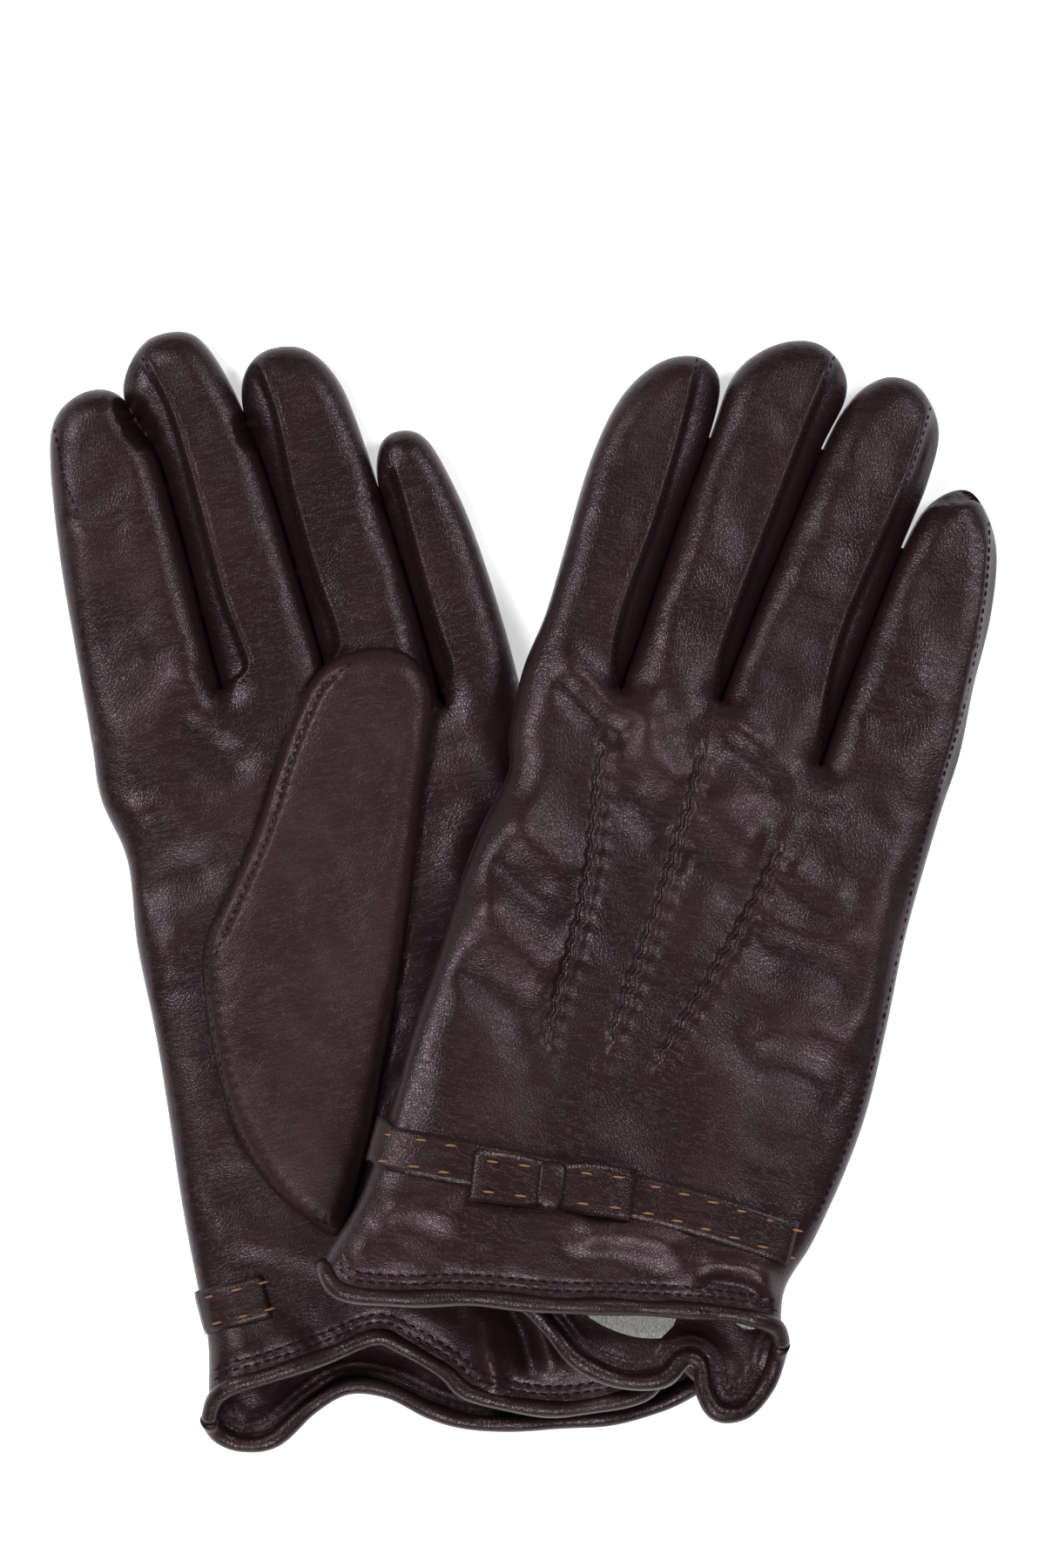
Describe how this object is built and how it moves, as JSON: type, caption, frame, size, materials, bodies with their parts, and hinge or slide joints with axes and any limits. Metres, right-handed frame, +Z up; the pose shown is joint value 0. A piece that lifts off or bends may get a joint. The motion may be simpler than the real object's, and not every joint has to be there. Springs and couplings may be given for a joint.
{
  "type": "touchscreen gloves",
  "caption": "Pair of lined leather gloves with a stitched wrist strap and bow, laid one over the other; fingers curl and thumbs fold out.",
  "frame": {"origin": "on the surface the pair lies on, at the centre of the pair's box", "axes": "+X across the pair from the left glove to the right one, +Y towards the fingertips, +Z up"},
  "size_m": [0.2005, 0.2418, 0.0478],
  "materials": {
    "glove_leather": "smooth nappa, satin",
    "trim_leather": "smooth nappa, satin",
    "knit_lining": "fine knit",
    "tan_thread": "waxed thread",
    "elastic_tape": "woven tape"
  },
  "bodies": {
    "left_hand": {"left_palm_panel": "glove_leather", "left_back_panel": "glove_leather", "left_hand_lining": "knit_lining", "left_cuff_binding": "trim_leather", "left_wrist_elastic": "elastic_tape", "left_thumb_root": "glove_leather", "left_thumb_quirk": "glove_leather", "left_wrist_strap": "trim_leather", "left_strap_stitches": "tan_thread", "left_bow": "trim_leather", "left_bow_knot": "trim_leather", "left_bow_stitches": "tan_thread", "left_back_tucks": "glove_leather"},
    "left_index": {"left_index_stall": "glove_leather", "left_index_fourchette": "glove_leather", "left_index_lining": "knit_lining"},
    "left_middle": {"left_middle_stall": "glove_leather", "left_middle_fourchette": "glove_leather", "left_middle_lining": "knit_lining"},
    "left_ring": {"left_ring_stall": "glove_leather", "left_ring_fourchette": "glove_leather", "left_ring_lining": "knit_lining"},
    "left_little": {"left_little_stall": "glove_leather", "left_little_fourchette": "glove_leather", "left_little_lining": "knit_lining"},
    "left_thumb": {"left_thumb_stall": "glove_leather", "left_thumb_lining": "knit_lining"},
    "right_hand": {"right_palm_panel": "glove_leather", "right_back_panel": "glove_leather", "right_hand_lining": "knit_lining", "right_cuff_binding": "trim_leather", "right_wrist_elastic": "elastic_tape", "right_thumb_root": "glove_leather", "right_thumb_quirk": "glove_leather", "right_wrist_strap": "trim_leather", "right_strap_stitches": "tan_thread", "right_bow": "trim_leather", "right_bow_knot": "trim_leather", "right_bow_stitches": "tan_thread", "right_back_tucks": "glove_leather"},
    "right_index": {"right_index_stall": "glove_leather", "right_index_fourchette": "glove_leather", "right_index_lining": "knit_lining"},
    "right_middle": {"right_middle_stall": "glove_leather", "right_middle_fourchette": "glove_leather", "right_middle_lining": "knit_lining"},
    "right_ring": {"right_ring_stall": "glove_leather", "right_ring_fourchette": "glove_leather", "right_ring_lining": "knit_lining"},
    "right_little": {"right_little_stall": "glove_leather", "right_little_fourchette": "glove_leather", "right_little_lining": "knit_lining"},
    "right_thumb": {"right_thumb_stall": "glove_leather", "right_thumb_lining": "knit_lining"}
  },
  "joints": [
    {"name": "left_index_curl", "type": "hinge", "parent": "left_hand", "child": "left_index", "pos_m": [-0.07968, 0.05077, 0.01249], "axis": [0.9673, 0.2538, 0], "range_deg": [0, 75]},
    {"name": "left_middle_curl", "type": "hinge", "parent": "left_hand", "child": "left_middle", "pos_m": [-0.05488, 0.05727, 0.01249], "axis": [0.9673, 0.2538, 0], "range_deg": [0, 75]},
    {"name": "left_ring_curl", "type": "hinge", "parent": "left_hand", "child": "left_ring", "pos_m": [-0.03356, 0.06183, 0.01251], "axis": [0.9673, 0.2538, 0], "range_deg": [0, 75]},
    {"name": "left_little_curl", "type": "hinge", "parent": "left_hand", "child": "left_little", "pos_m": [-0.01193, 0.05613, 0.01274], "axis": [0.9673, 0.2538, 0], "range_deg": [0, 75]},
    {"name": "left_thumb_open", "type": "hinge", "parent": "left_hand", "child": "left_thumb", "pos_m": [-0.05185, -0.0247, 0.02002], "axis": [0.2537, -0.9671, 0.0209], "range_deg": [0, 75]},
    {"name": "right_index_curl", "type": "hinge", "parent": "right_hand", "child": "right_index", "pos_m": [0.01511, 0.05726, 0.01233], "axis": [-0.9628, 0.2612, 0.069], "range_deg": [0, 75]},
    {"name": "right_middle_curl", "type": "hinge", "parent": "right_hand", "child": "right_middle", "pos_m": [0.03649, 0.05454, 0.01042], "axis": [-0.9628, 0.2612, 0.069], "range_deg": [0, 75]},
    {"name": "right_ring_curl", "type": "hinge", "parent": "right_hand", "child": "right_ring", "pos_m": [0.05847, 0.04858, 0.00884], "axis": [-0.9628, 0.2612, 0.069], "range_deg": [0, 75]},
    {"name": "right_little_curl", "type": "hinge", "parent": "right_hand", "child": "right_little", "pos_m": [0.08015, 0.03449, 0.0083], "axis": [-0.9628, 0.2612, 0.069], "range_deg": [0, 75]},
    {"name": "right_thumb_open", "type": "hinge", "parent": "right_hand", "child": "right_thumb", "pos_m": [0.00775, -0.02384, 0.01718], "axis": [0.2494, 0.9576, -0.1444], "range_deg": [0, 75]},
    {"name": "lift_right_glove", "type": "slide", "parent": "left_hand", "child": "right_hand", "axis": [0, 0, 1], "range_m": [0, 0.12]}
  ],
  "couplings": [
    {"joint": "right_thumb_open", "follows": "lift_right_glove", "rad_per_m": 10.9}
  ]
}
